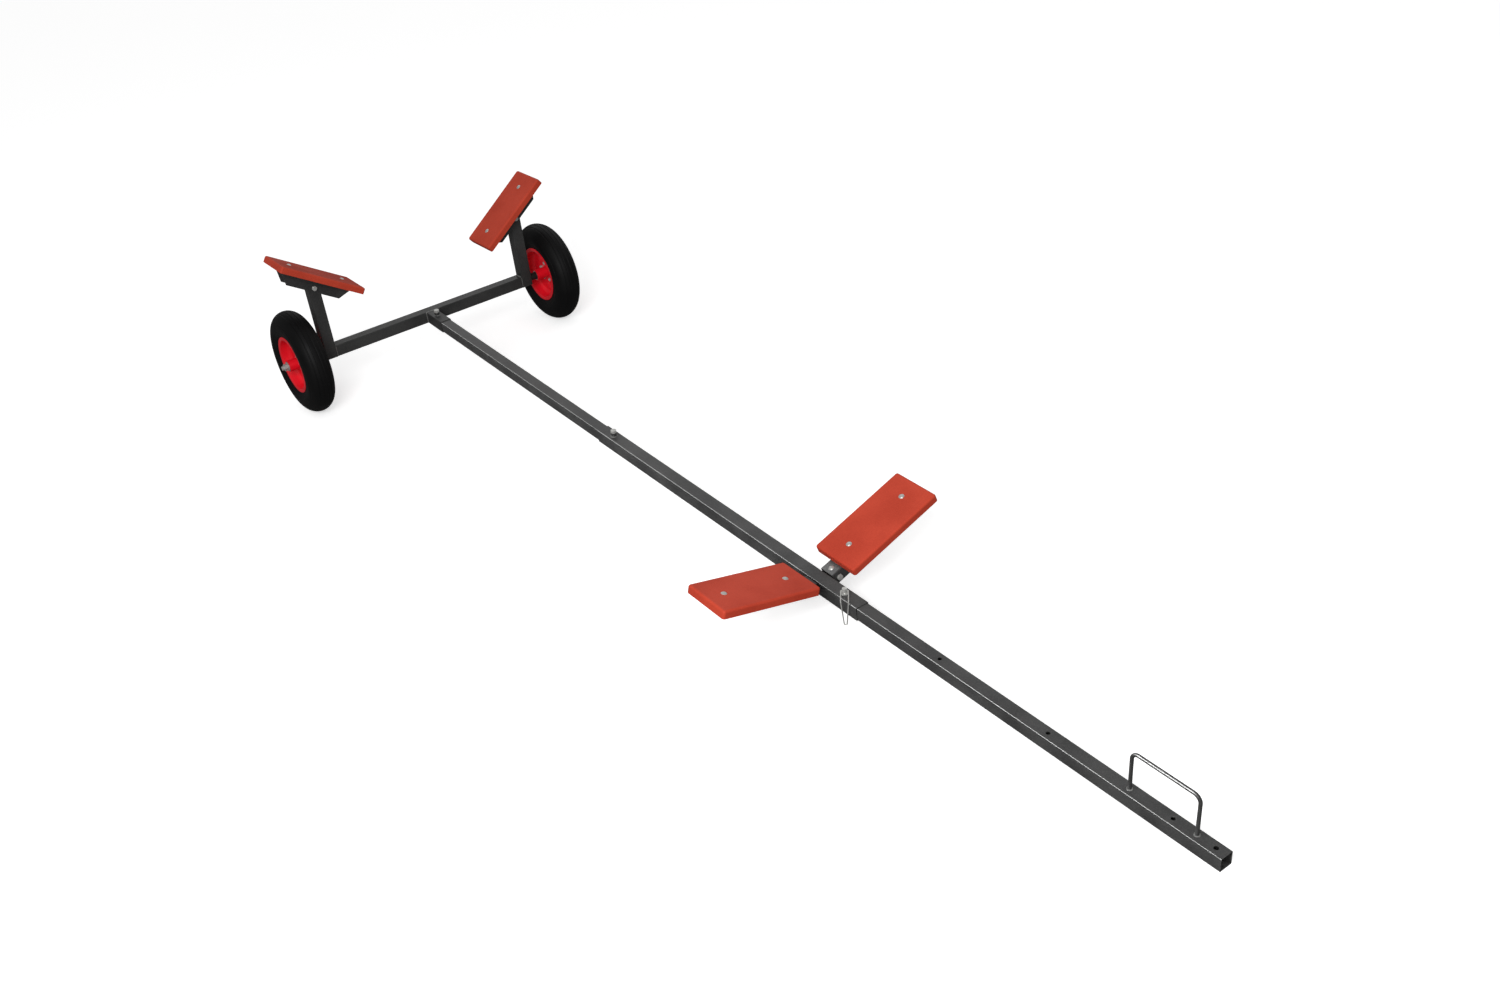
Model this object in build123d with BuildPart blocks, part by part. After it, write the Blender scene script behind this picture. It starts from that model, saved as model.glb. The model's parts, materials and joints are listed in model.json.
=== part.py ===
from build123d import *
from math import asin, atan2, cos, hypot, radians, sin, sqrt
import os

# Hand boat-launching trolley, in millimetres. X runs across (left wheel at -X), the drawbar
# runs towards -Y and Z is up. The origin is on the floor, midway along and across the trolley.

# Square tube: the outer size is for the frame and the sleeve, and the inner size slides in it
tube_size = 45
tube_wall = 2.2
tube_corner = 3
slip_gap = 0.3
inner_tube_size = tube_size - 2 * tube_wall - 2 * slip_gap
inner_tube_corner = 2

# Wheels: 4.80/4.00-8 tyre on a split steel rim
tyre_section_radius = 53
tyre_seat_depth = 4.5
tyre_wall = 8
tyre_bead_width = 9
inner_tube_wall = 2.5
inner_tube_gap = 0.5
track_width = 1086
rim_half_width = 44
rim_sheet = 2.5
rim_seat_radius = 98.5
rim_lip_gap = 3
rim_shoulder_run = 12.5
rim_lobe_count = 5
rim_lobe_length = 36
rim_lobe_width = 24
rim_lobe_height = 4
rim_lobe_slope = 25
rim_lobe_margin = 4
hub_length = 116
hub_radius = 22
hub_bore_radius = 16
hub_flange_radius = 47
hub_flange_thickness = 5
bearing_radius = 18.5
bearing_width = 9
running_gap = 0.05
rim_bolt_circle = 37
rim_bolt_count = 5
valve_diameter = 8
valve_length = 34
valve_offset = 22

# Axle: a stub shaft welded through each upright, with a shoulder and a threaded end
shaft_diameter = 20
thread_diameter = 16
spacer_radius = 15
side_play = 0.5
axle_washer_radius = 17
axle_washer_thickness = 3
axle_nut_across = 24
axle_nut_height = 13
thread_spare = 8

# Rear frame
upright_setback = 110
upright_top_margin = 14
rear_pivot_height = 470

# Drawbar: stations are distances along it from the axle line
drawbar_length = 3860
socket_end = 140
socket_screw_station = 71
rear_tube_setback = 9.5
rear_tube_end = 1430
sleeve_start = 1280
sleeve_end = 2620
sleeve_screw_station = 1350
front_tube_start = 2425
lock_station = 2545
adjust_hole_count = 3
hitch_setback = 30
hitch_hole_diameter = 13

# Bent rod handle on top of the front tube
handle_rod = 10
handle_setback = 83
handle_length = 197
post_hole_setback = 151
handle_height = 116
handle_bend = 20

# M12 clamp screws in welded nuts, M10 pivot bolts, and M8 bolts on the rims and boards
screw_diameter = 12
screw_across = 19
screw_head_height = 7.5
screw_nut_height = 10
screw_hole = 12.5
screw_bare_thread = 4
pivot_diameter = 10
pivot_across = pivot_diameter + 7
pivot_head_height = 6.4
pivot_nut_height = 8
pivot_fixed_hole = pivot_diameter + 0.5
pivot_running_hole = pivot_diameter + 2 * running_gap
m8_diameter = 8
m8_hole = 8.5
m8_across = 13
m8_head_height = 5.3
m8_nut_height = 6.5
bolt_spare = 2
pivot_side_gap = 0.2

# Lock pin and its wire bail
pin_diameter = 12
pin_gap = 0.1
pin_collar_radius = 12
pin_collar_height = 3
pin_head_radius = 7
pin_head_height = 14
pin_tip_length = 12
pin_turn = 50
bail_wire = 3.5
bail_gap = 0.05
bail_half_width = 11
bail_side_gap = 1.4
bail_drop = 80
bail_tip_half_width = 4
bail_bend = 3.5

# Bolsters: a board bolted to a folded channel that pivots on a bolt
board_length = 340
board_width = 170
board_thickness = 25
board_corner = 8
board_round = 7
board_bolt_offset = 108
board_bolt_head_radius = 9
board_bolt_head_height = 4
channel_plate = 4
channel_gap = 0.5
channel_bend = 4
upright_clearance = 1.5
rear_flange_drop = 15
rear_channel_half = 145
rear_flange_half = 107
front_bolster_station = 2432
front_pivot_rise = 7
front_pivot_reach = 52
front_web_height = 22
front_flange_drop = 18
front_channel_inner = 18
front_channel_outer = 330
front_flange_outer = 300
front_board_centre = 190
lug_plate = 5
lug_radius = 12
lug_base_plate = 4
lug_arm_top = 1
lug_depth = 17
rest_tilt = {"rear_left": 33, "rear_right": 37, "front_left": 15, "front_right": 19}

# Derived places
half_tube = tube_size / 2
half_inner = inner_tube_size / 2
wheel_radius = rim_seat_radius + 2 * tyre_section_radius - tyre_seat_depth
axle_height = wheel_radius
slope = asin(axle_height / hypot(drawbar_length, half_inner)) - atan2(half_inner, drawbar_length)
along = Vector(0, -cos(slope), -sin(slope))
upward = Vector(0, -sin(slope), cos(slope))
axle_y = (drawbar_length * cos(slope) + half_inner * sin(slope) - wheel_radius) / 2
axle_centre = Vector(0, axle_y, axle_height)
upright_centre = track_width / 2 - upright_setback
rear_tube_start = half_tube + rear_tube_setback
hitch_station = drawbar_length - hitch_setback
handle_front_leg = drawbar_length - handle_setback
handle_rear_leg = handle_front_leg - handle_length
adjust_pitch = (drawbar_length - post_hole_setback - lock_station) / adjust_hole_count
rear_web_height = hypot(half_tube, upright_top_margin) + upright_clearance + channel_plate
channel_inner_width = tube_size + 2 * channel_gap
channel_width = channel_inner_width + 2 * channel_plate
X_AXIS = Vector(1, 0, 0)
Z_AXIS = Vector(0, 0, 1)

os.makedirs("parts", exist_ok=True)


def save(builder, name):
    """Label the piece and write its STEP file."""
    builder.part.label = name
    export_step(builder.part, f"parts/{name}.step")


def on_drawbar(station, rise=0, side=0):
    """Point at a station along the drawbar, raised square to it and moved across."""
    return axle_centre + along * station + upward * rise + X_AXIS * side


def section_plane(station, rise=0, side=0):
    """Plane square to the drawbar: its x is across, its y is up and its z is forward."""
    return Plane(on_drawbar(station, rise, side), x_dir=X_AXIS, z_dir=along)


def top_plane(station, rise):
    """Plane facing up from the drawbar: its x is across and its y is rearward."""
    return Plane(on_drawbar(station, rise), x_dir=X_AXIS, z_dir=upward)


def square_tube(plane, size, corner, length):
    """Hollow square tube along the plane's normal."""
    with BuildSketch(plane) as outline:
        RectangleRounded(size, size, corner)
        RectangleRounded(size - 2 * tube_wall, size - 2 * tube_wall, corner / 2, mode=Mode.SUBTRACT)
    extrude(outline.sketch, amount=length)


def round_bar(plane, radius, length, bore=0, mode=Mode.ADD):
    """Round bar or ring along the plane's normal."""
    with BuildSketch(plane) as outline:
        Circle(radius)
        if bore:
            Circle(bore, mode=Mode.SUBTRACT)
    extrude(outline.sketch, amount=length, mode=mode)


def hexagon(plane, across, height, bore=0):
    """Hex head or nut along the plane's normal."""
    with BuildSketch(plane) as outline:
        RegularPolygon(across / 2, 6, major_radius=False)
        if bore:
            Circle(bore, mode=Mode.SUBTRACT)
    extrude(outline.sketch, amount=height)


def drill(plane, diameter, depth):
    """Round hole from the plane against its normal."""
    into = Plane(plane.origin, x_dir=plane.x_dir, z_dir=-plane.z_dir)
    round_bar(into, diameter / 2, depth, mode=Mode.SUBTRACT)


def revolved(plane, outline):
    """Closed profile of (distance along x, radius) points, turned about the plane's x axis."""
    with BuildSketch(plane) as profile:
        with BuildLine():
            Polyline(*outline, close=True)
        make_face()
    revolve(profile.sketch, axis=Axis(plane.origin, plane.x_dir))


# ---- Rear frame -----------------------------------------------------------------------------
# The beam butts against the inner faces of the uprights, which stand at its ends.
beam_half = upright_centre - half_tube

with BuildPart() as axle_beam:
    square_tube(
        Plane(axle_centre - X_AXIS * beam_half, x_dir=(0, 1, 0), z_dir=X_AXIS),
        tube_size, tube_corner, 2 * beam_half,
    )
save(axle_beam, "axle_beam")

upright_bottom = axle_height - half_tube
upright_top = rear_pivot_height + upright_top_margin

for side, hand in ((-1, "left"), (1, "right")):
    with BuildPart() as upright:
        foot = Vector(side * upright_centre, axle_y, upright_bottom)
        foot_plane = Plane(foot, x_dir=X_AXIS, z_dir=Z_AXIS)
        square_tube(foot_plane, tube_size, tube_corner, upright_top - upright_bottom)
        pivot_mouth = Vector(side * upright_centre, axle_y - half_tube, rear_pivot_height)
        drill(Plane(pivot_mouth, x_dir=X_AXIS, z_dir=(0, -1, 0)), pivot_fixed_hole, tube_size)
        shaft_mouth = Vector(side * (upright_centre + half_tube), axle_y, axle_height)
        drill(Plane(shaft_mouth, x_dir=(0, 1, 0), z_dir=X_AXIS * side), shaft_diameter, tube_size)
    save(upright, f"upright_{hand}")

# The socket stub is mitred to the beam's front face and holds the drawbar's rear tube.
with BuildPart() as socket_stub:
    square_tube(section_plane(0), tube_size, tube_corner, socket_end)
    split(bisect_by=Plane(axle_centre - Vector(0, half_tube, 0), z_dir=(0, -1, 0)), keep=Keep.TOP)
    drill(top_plane(socket_screw_station, half_tube), screw_hole, half_tube)
save(socket_stub, "socket_stub")

# ---- Stub axles -----------------------------------------------------------------------------
hub_outer = track_width / 2 + hub_length / 2
hub_inner = track_width / 2 - hub_length / 2
shoulder = hub_outer + side_play
nut_start = shoulder + axle_washer_thickness
thread_end = nut_start + axle_nut_height + thread_spare


def axle_plane(side, distance):
    """Plane square to the axle at a distance from the middle, facing outwards."""
    return Plane(axle_centre + X_AXIS * side * distance, x_dir=(0, 1, 0), z_dir=X_AXIS * side)


with BuildPart() as axle_stubs:
    for side in (-1, 1):
        round_bar(axle_plane(side, beam_half), shaft_diameter / 2, shoulder - beam_half)
        round_bar(axle_plane(side, shoulder), thread_diameter / 2, thread_end - shoulder)
save(axle_stubs, "axle_stubs")

with BuildPart() as axle_spacers:
    for side in (-1, 1):
        spacer_start = upright_centre + half_tube
        spacer_length = hub_inner - side_play - spacer_start
        round_bar(axle_plane(side, spacer_start), spacer_radius, spacer_length, bore=shaft_diameter / 2)
save(axle_spacers, "axle_spacers")

with BuildPart() as axle_washers:
    for side in (-1, 1):
        round_bar(
            axle_plane(side, shoulder), axle_washer_radius, axle_washer_thickness,
            bore=thread_diameter / 2,
        )
save(axle_washers, "axle_washers")

with BuildPart() as axle_nuts:
    for side in (-1, 1):
        hexagon(axle_plane(side, nut_start), axle_nut_across, axle_nut_height, bore=thread_diameter / 2)
save(axle_nuts, "axle_nuts")

# ---- Wheels ---------------------------------------------------------------------------------
# Profiles are drawn as (distance outward from the wheel's middle, radius).
section_centre = wheel_radius - tyre_section_radius
bead_outer = rim_half_width - rim_sheet
bead_inner = bead_outer - tyre_bead_width
lining_radius = tyre_section_radius - tyre_wall
tyre_foot = section_centre - sqrt(tyre_section_radius ** 2 - bead_outer ** 2)
lining_foot = section_centre - sqrt(lining_radius ** 2 - bead_inner ** 2)
disc_inner = hub_flange_thickness / 2
disc_outer = disc_inner + rim_sheet
barrel_inner = rim_seat_radius - rim_sheet
rim_lip_radius = tyre_foot - rim_lip_gap
rim_disc_radius = rim_seat_radius - rim_shoulder_run
rim_lobe_centre = rim_disc_radius - rim_lobe_margin - rim_lobe_length / 2
bolt_grip = 2 * disc_outer
valve_near_side = valve_offset - valve_diameter / 2
inner_tube_radius = lining_radius - inner_tube_gap
valve_top = section_centre - sqrt(inner_tube_radius ** 2 - valve_near_side ** 2) - inner_tube_gap

for side, hand in ((-1, "left"), (1, "right")):
    wheel_centre = axle_centre + X_AXIS * side * track_width / 2
    outward_plane = Plane(wheel_centre, x_dir=X_AXIS * side, z_dir=(0, -side, 0))
    inward_plane = Plane(wheel_centre, x_dir=X_AXIS * -side, z_dir=(0, side, 0))
    spin_axis = Axis(wheel_centre, X_AXIS)

    with BuildPart() as tyre:
        with BuildSketch(outward_plane) as tyre_section:
            with BuildLine():
                ThreePointArc((bead_outer, tyre_foot), (0, wheel_radius), (-bead_outer, tyre_foot))
                Polyline(
                    (-bead_outer, tyre_foot), (-bead_outer, rim_seat_radius),
                    (-bead_inner, rim_seat_radius), (-bead_inner, lining_foot),
                )
                ThreePointArc(
                    (-bead_inner, lining_foot), (0, wheel_radius - tyre_wall), (bead_inner, lining_foot),
                )
                Polyline(
                    (bead_inner, lining_foot), (bead_inner, rim_seat_radius),
                    (bead_outer, rim_seat_radius), (bead_outer, tyre_foot),
                )
            make_face()
        revolve(tyre_section.sketch, axis=spin_axis)
    save(tyre, f"tyre_{hand}")

    with BuildPart() as inner_tube:
        with BuildSketch(outward_plane) as tube_section:
            with Locations((0, section_centre)):
                Circle(inner_tube_radius)
                Circle(inner_tube_radius - inner_tube_wall, mode=Mode.SUBTRACT)
        revolve(tube_section.sketch, axis=spin_axis)
    save(inner_tube, f"inner_tube_{hand}")

    for face, face_plane in (("outer", outward_plane), ("inner", inward_plane)):
        with BuildPart() as rim:
            revolved(face_plane, (
                (disc_inner, hub_radius), (disc_outer, hub_radius), (disc_outer, rim_disc_radius),
                (disc_outer + rim_shoulder_run, barrel_inner), (rim_half_width - rim_sheet / 2, barrel_inner),
                (rim_half_width, barrel_inner + rim_sheet), (rim_half_width, rim_lip_radius),
                (bead_outer, rim_lip_radius), (bead_outer, rim_seat_radius),
                (disc_outer + rim_shoulder_run - rim_sheet / 2, rim_seat_radius),
                (disc_inner, rim_disc_radius + rim_sheet / 2),
            ))
            disc_plane = Plane(
                wheel_centre + face_plane.x_dir * disc_outer, x_dir=Z_AXIS, z_dir=face_plane.x_dir,
            )
            with BuildSketch(disc_plane) as lobes:
                with PolarLocations(rim_lobe_centre, rim_lobe_count, start_angle=180 / rim_lobe_count):
                    SlotOverall(rim_lobe_length, rim_lobe_width)
            extrude(lobes.sketch, amount=rim_lobe_height, taper=rim_lobe_slope)
            with BuildSketch(disc_plane) as bolt_holes:
                with PolarLocations(rim_bolt_circle, rim_bolt_count):
                    Circle(m8_hole / 2)
            extrude(bolt_holes.sketch, amount=-rim_sheet, mode=Mode.SUBTRACT)
            if face == "outer":
                valve_mouth = wheel_centre + X_AXIS * side * valve_offset + Z_AXIS * rim_lip_radius
                valve_hole_depth = rim_lip_radius - barrel_inner + rim_sheet
                drill(Plane(valve_mouth, x_dir=X_AXIS, z_dir=Z_AXIS), valve_diameter, valve_hole_depth)
        save(rim, f"rim_{face}_{hand}")

    with BuildPart() as hub:
        bearing_seat = hub_length / 2 - bearing_width
        revolved(outward_plane, (
            (-hub_length / 2, bearing_radius), (-hub_length / 2, hub_radius), (-disc_inner, hub_radius),
            (-disc_inner, hub_flange_radius), (disc_inner, hub_flange_radius), (disc_inner, hub_radius),
            (hub_length / 2, hub_radius), (hub_length / 2, bearing_radius),
            (bearing_seat, bearing_radius), (bearing_seat, hub_bore_radius),
            (-bearing_seat, hub_bore_radius), (-bearing_seat, bearing_radius),
        ))
        flange_face = Plane(wheel_centre + X_AXIS * side * disc_inner, x_dir=Z_AXIS, z_dir=X_AXIS * side)
        with BuildSketch(flange_face) as flange_holes:
            with PolarLocations(rim_bolt_circle, rim_bolt_count):
                Circle(m8_hole / 2)
        extrude(flange_holes.sketch, amount=-hub_flange_thickness, mode=Mode.SUBTRACT)
    save(hub, f"hub_{hand}")

    with BuildPart() as bearings:
        for end in (-1, 1):
            ring_start = wheel_centre + X_AXIS * side * end * bearing_seat
            ring_plane = Plane(ring_start, x_dir=(0, 1, 0), z_dir=X_AXIS * side * end)
            round_bar(ring_plane, bearing_radius, bearing_width, bore=shaft_diameter / 2 + running_gap)
    save(bearings, f"bearings_{hand}")

    bolt_locations = [
        wheel_centre + Z_AXIS.rotate(spin_axis, turn * 360 / rim_bolt_count) * rim_bolt_circle
        for turn in range(rim_bolt_count)
    ]
    with BuildPart() as rim_bolts:
        for spot in bolt_locations:
            head_seat = Plane(spot + X_AXIS * side * disc_outer, x_dir=Z_AXIS, z_dir=X_AXIS * side)
            hexagon(head_seat, m8_across, m8_head_height)
            shank = bolt_grip + m8_nut_height + bolt_spare
            shank_plane = Plane(head_seat.origin, x_dir=Z_AXIS, z_dir=X_AXIS * -side)
            round_bar(shank_plane, m8_diameter / 2, shank)
    save(rim_bolts, f"rim_bolts_{hand}")

    with BuildPart() as rim_nuts:
        for spot in bolt_locations:
            nut_seat = Plane(spot - X_AXIS * side * disc_outer, x_dir=Z_AXIS, z_dir=X_AXIS * -side)
            hexagon(nut_seat, m8_across, m8_nut_height, bore=m8_diameter / 2)
    save(rim_nuts, f"rim_nuts_{hand}")

    with BuildPart() as valve_stem:
        stem_top = wheel_centre + X_AXIS * side * valve_offset + Z_AXIS * valve_top
        round_bar(Plane(stem_top, x_dir=X_AXIS, z_dir=-Z_AXIS), valve_diameter / 2, valve_length)
    save(valve_stem, f"valve_stem_{hand}")

# ---- Drawbar --------------------------------------------------------------------------------
with BuildPart() as drawbar_rear:
    square_tube(
        section_plane(rear_tube_start), inner_tube_size, inner_tube_corner, rear_tube_end - rear_tube_start,
    )
save(drawbar_rear, "drawbar_rear")

pin_hole = pin_diameter + 2 * pin_gap

with BuildPart() as drawbar_sleeve:
    square_tube(section_plane(sleeve_start), tube_size, tube_corner, sleeve_end - sleeve_start)
    drill(top_plane(sleeve_screw_station, half_tube), screw_hole, half_tube)
    drill(top_plane(lock_station, half_tube), pin_hole, tube_size)
save(drawbar_sleeve, "drawbar_sleeve")

with BuildPart() as drawbar_front:
    square_tube(
        section_plane(front_tube_start), inner_tube_size, inner_tube_corner,
        drawbar_length - front_tube_start,
    )
    for step in range(adjust_hole_count + 1):
        drill(top_plane(lock_station + step * adjust_pitch, half_inner), pin_hole, inner_tube_size)
    drill(top_plane(hitch_station, half_inner), hitch_hole_diameter, inner_tube_size)
save(drawbar_front, "drawbar_front")

# A clamp screw runs in a nut welded over each joint and presses on the tube inside.
screw_stations = (socket_screw_station, sleeve_screw_station)
screw_head_rise = half_tube + screw_nut_height + screw_bare_thread

with BuildPart() as clamp_screws:
    for station in screw_stations:
        head_plane = top_plane(station, screw_head_rise)
        hexagon(head_plane, screw_across, screw_head_height)
        shank_plane = Plane(head_plane.origin, x_dir=X_AXIS, z_dir=-upward)
        round_bar(shank_plane, screw_diameter / 2, screw_head_rise - half_inner)
save(clamp_screws, "clamp_screws")

with BuildPart() as clamp_nuts:
    for station in screw_stations:
        hexagon(top_plane(station, half_tube), screw_across, screw_nut_height, bore=screw_diameter / 2)
save(clamp_nuts, "clamp_nuts")

# The handle stands on the front tube's top face, over its middle line.
with BuildPart() as handle:
    with BuildLine() as handle_path:
        FilletPolyline(
            on_drawbar(handle_rear_leg, half_inner),
            on_drawbar(handle_rear_leg, half_inner + handle_height),
            on_drawbar(handle_front_leg, half_inner + handle_height),
            on_drawbar(handle_front_leg, half_inner),
            radius=handle_bend,
        )
    with BuildSketch(top_plane(handle_rear_leg, half_inner)) as rod_section:
        Circle(handle_rod / 2)
    sweep(rod_section.sketch, path=handle_path.line)
save(handle, "handle")

# ---- Lock pin and bail ----------------------------------------------------------------------
# The pin is turned in its hole, so the bail hangs down the left side of the sleeve.
bail_out = X_AXIS * -cos(radians(pin_turn)) + along * sin(radians(pin_turn))
bail_axis = bail_out.cross(upward)
bail_side_reach = half_tube + bail_side_gap + bail_wire / 2 + bail_half_width * sin(radians(pin_turn))
bail_reach = bail_side_reach / cos(radians(pin_turn))
collar_top = half_tube + pin_collar_height
bail_rise = collar_top + pin_head_height / 2

with BuildPart() as lock_pin:
    round_bar(
        Plane(on_drawbar(lock_station, half_tube), x_dir=X_AXIS, z_dir=-upward),
        pin_diameter / 2, tube_size + pin_tip_length,
    )
    chamfer(lock_pin.edges().sort_by(Axis(axle_centre, upward))[0], pin_diameter / 6)
    round_bar(top_plane(lock_station, half_tube), pin_collar_radius, pin_collar_height)
    round_bar(top_plane(lock_station, collar_top), pin_head_radius, pin_head_height)
    eye_mouth = on_drawbar(lock_station, bail_rise) + bail_axis * pin_head_radius
    drill(Plane(eye_mouth, x_dir=upward, z_dir=bail_axis), bail_wire + 2 * bail_gap, 2 * pin_head_radius)
save(lock_pin, "lock_pin")

bail_plane = Plane(on_drawbar(lock_station, bail_rise), x_dir=bail_out, z_dir=bail_axis)
bail_end = pin_head_radius / 3

with BuildPart() as lock_bail:
    with BuildLine() as bail_path:
        hinge = bail_plane.origin
        corners = [
            hinge + bail_axis * bail_end, hinge + bail_axis * bail_half_width,
            hinge + bail_axis * bail_half_width + bail_out * bail_reach,
            hinge + bail_axis * bail_tip_half_width + bail_out * bail_reach - upward * bail_drop,
            hinge - bail_axis * bail_tip_half_width + bail_out * bail_reach - upward * bail_drop,
            hinge - bail_axis * bail_half_width + bail_out * bail_reach,
            hinge - bail_axis * bail_half_width, hinge - bail_axis * bail_end,
        ]
        FilletPolyline(*corners, radius=bail_bend)
    with BuildSketch(Plane(corners[0], x_dir=upward, z_dir=bail_axis)) as wire_section:
        Circle(bail_wire / 2)
    sweep(wire_section.sketch, path=bail_path.line)
save(lock_bail, "lock_bail")

# ---- Front lugs -----------------------------------------------------------------------------
# Each is a folded U of plate with an ear at either end, and an end plate that is welded to the
# side of the sleeve.
lug_length = tube_size

for side, hand in ((-1, "left"), (1, "right")):
    with BuildPart() as lug:
        lug_reach = front_pivot_reach - half_tube
        lug_start = front_bolster_station - lug_length / 2
        for ear_start in (lug_start, lug_start + lug_length - lug_plate):
            with BuildSketch(section_plane(ear_start, front_pivot_rise, side * half_tube)) as ear:
                with Locations((side * lug_reach / 2, -(lug_depth + lug_arm_top) / 2)):
                    Rectangle(lug_reach, lug_depth - lug_arm_top)
                with Locations((side * lug_reach, 0)):
                    Circle(lug_radius)
            extrude(ear.sketch, amount=lug_plate)
        with BuildSketch(section_plane(lug_start, front_pivot_rise, side * half_tube)) as base_plate:
            with Locations((side * lug_base_plate / 2, -(lug_depth + lug_arm_top) / 2)):
                Rectangle(lug_base_plate, lug_depth - lug_arm_top)
            with Locations((side * lug_reach / 2, lug_base_plate / 2 - lug_depth)):
                Rectangle(lug_reach, lug_base_plate)
        extrude(base_plate.sketch, amount=lug_length)
        lug_front = section_plane(
            front_bolster_station + lug_length / 2, front_pivot_rise, side * front_pivot_reach,
        )
        drill(lug_front, pivot_fixed_hole, lug_length)
    save(lug, f"front_lug_{hand}")

# ---- Pivot bolts ----------------------------------------------------------------------------
rear_pivots = [Vector(side * upright_centre, axle_y, rear_pivot_height) for side in (-1, 1)]
front_pivots = [
    on_drawbar(front_bolster_station, front_pivot_rise, side * front_pivot_reach) for side in (-1, 1)
]
bolt_seat = channel_width / 2 + pivot_side_gap

for end, pivots, forward in (("rear", rear_pivots, Vector(0, -1, 0)), ("front", front_pivots, along)):
    with BuildPart() as pivot_bolts:
        for pivot in pivots:
            head_centre = pivot + forward * bolt_seat
            hexagon(Plane(head_centre, x_dir=X_AXIS, z_dir=forward), pivot_across, pivot_head_height)
            shank = 2 * bolt_seat + pivot_nut_height + bolt_spare
            round_bar(Plane(head_centre, x_dir=X_AXIS, z_dir=-forward), pivot_diameter / 2, shank)
    save(pivot_bolts, f"{end}_pivot_bolts")

    with BuildPart() as pivot_nuts:
        for pivot in pivots:
            nut_plane = Plane(pivot - forward * bolt_seat, x_dir=X_AXIS, z_dir=-forward)
            hexagon(nut_plane, pivot_across, pivot_nut_height, bore=pivot_diameter / 2)
    save(pivot_nuts, f"{end}_pivot_nuts")

# ---- Bolsters -------------------------------------------------------------------------------
rear_profile = (
    (-rear_channel_half, rear_web_height), (rear_channel_half, rear_web_height),
    (rear_flange_half, -rear_flange_drop), (-rear_flange_half, -rear_flange_drop),
)
front_profile = (
    (-front_channel_inner, front_web_height), (front_channel_outer, front_web_height),
    (front_flange_outer, -front_flange_drop), (-front_channel_inner, -front_flange_drop),
)
dome_radius = (board_bolt_head_radius ** 2 + board_bolt_head_height ** 2) / (2 * board_bolt_head_height)
bolsters = (
    ("rear_left", rear_pivots[0], -1, Z_AXIS, rear_web_height, 0, rear_profile),
    ("rear_right", rear_pivots[1], 1, Z_AXIS, rear_web_height, 0, rear_profile),
    ("front_left", front_pivots[0], -1, upward, front_web_height, front_board_centre, front_profile),
    ("front_right", front_pivots[1], 1, upward, front_web_height, front_board_centre, front_profile),
)

for place, pivot, side, up, web_height, board_centre, profile in bolsters:
    tilt = radians(rest_tilt[place])
    run = X_AXIS * side * cos(tilt) + up * sin(tilt)
    normal = up * cos(tilt) - X_AXIS * side * sin(tilt)
    cross = run.cross(normal)
    side_plane = Plane(pivot, x_dir=run, z_dir=cross)
    web_plane = Plane(pivot + run * board_centre + normal * web_height, x_dir=run, z_dir=normal)
    bolt_offsets = [-board_bolt_offset, board_bolt_offset]
    web_only_offsets = [-board_centre] if board_centre else []

    with BuildPart() as bracket:
        with BuildSketch(side_plane) as flange:
            with BuildLine():
                Polyline(*profile, close=True)
            make_face()
        extrude(flange.sketch, amount=channel_width / 2, both=True)
        top_edges = bracket.edges().filter_by(Axis(pivot, run)).sort_by(Axis(pivot, normal))[-2:]
        fillet(top_edges, channel_bend)
        under_web = Plane(web_plane.origin - normal * channel_plate, x_dir=run, z_dir=-normal)
        with BuildSketch(under_web) as channel:
            Rectangle(4 * board_length, channel_inner_width)
        extrude(channel.sketch, amount=board_length, mode=Mode.SUBTRACT)
        with BuildSketch(web_plane) as web_holes:
            with Locations([(offset, 0) for offset in bolt_offsets + web_only_offsets]):
                Circle(m8_hole / 2)
        extrude(web_holes.sketch, amount=-channel_plate, mode=Mode.SUBTRACT)
        pivot_mouth = Plane(pivot + cross * channel_width / 2, x_dir=run, z_dir=cross)
        drill(pivot_mouth, pivot_running_hole, channel_width)
    save(bracket, f"bracket_{place}")

    with BuildPart() as board:
        with BuildSketch(web_plane) as board_outline:
            RectangleRounded(board_length, board_width, board_corner)
        extrude(board_outline.sketch, amount=board_thickness)
        fillet(board.faces().sort_by(Axis(pivot, normal))[-1].edges(), board_round)
        with BuildSketch(web_plane) as board_holes:
            with Locations([(offset, 0) for offset in bolt_offsets]):
                Circle(m8_hole / 2)
        extrude(board_holes.sketch, amount=board_thickness, mode=Mode.SUBTRACT)
    save(board, f"board_{place}")

    seats = [(offset, board_thickness) for offset in bolt_offsets]
    seats += [(offset, 0) for offset in web_only_offsets]
    with BuildPart() as board_bolts:
        for offset, rise in seats:
            seat = web_plane.origin + run * offset + normal * rise
            with BuildSketch(Plane(seat, x_dir=run, z_dir=cross)) as dome:
                with BuildLine():
                    Line((0, 0), (board_bolt_head_radius, 0))
                    RadiusArc((board_bolt_head_radius, 0), (0, board_bolt_head_height), -dome_radius)
                    Line((0, board_bolt_head_height), (0, 0))
                make_face()
            revolve(dome.sketch, axis=Axis(seat, normal))
            shank = rise + channel_plate + m8_nut_height + bolt_spare
            round_bar(Plane(seat, x_dir=run, z_dir=-normal), m8_diameter / 2, shank)
    save(board_bolts, f"board_bolts_{place}")

    with BuildPart() as board_nuts:
        for offset, _ in seats:
            nut_seat = web_plane.origin + run * offset - normal * channel_plate
            nut_plane = Plane(nut_seat, x_dir=run, z_dir=-normal)
            hexagon(nut_plane, m8_across, m8_nut_height, bore=m8_diameter / 2)
    save(board_nuts, f"board_nuts_{place}")
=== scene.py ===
import bpy
import bmesh
import json
from math import atan2, cos, hypot, pi, radians, sin, tau
from mathutils import Matrix, Vector


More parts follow.
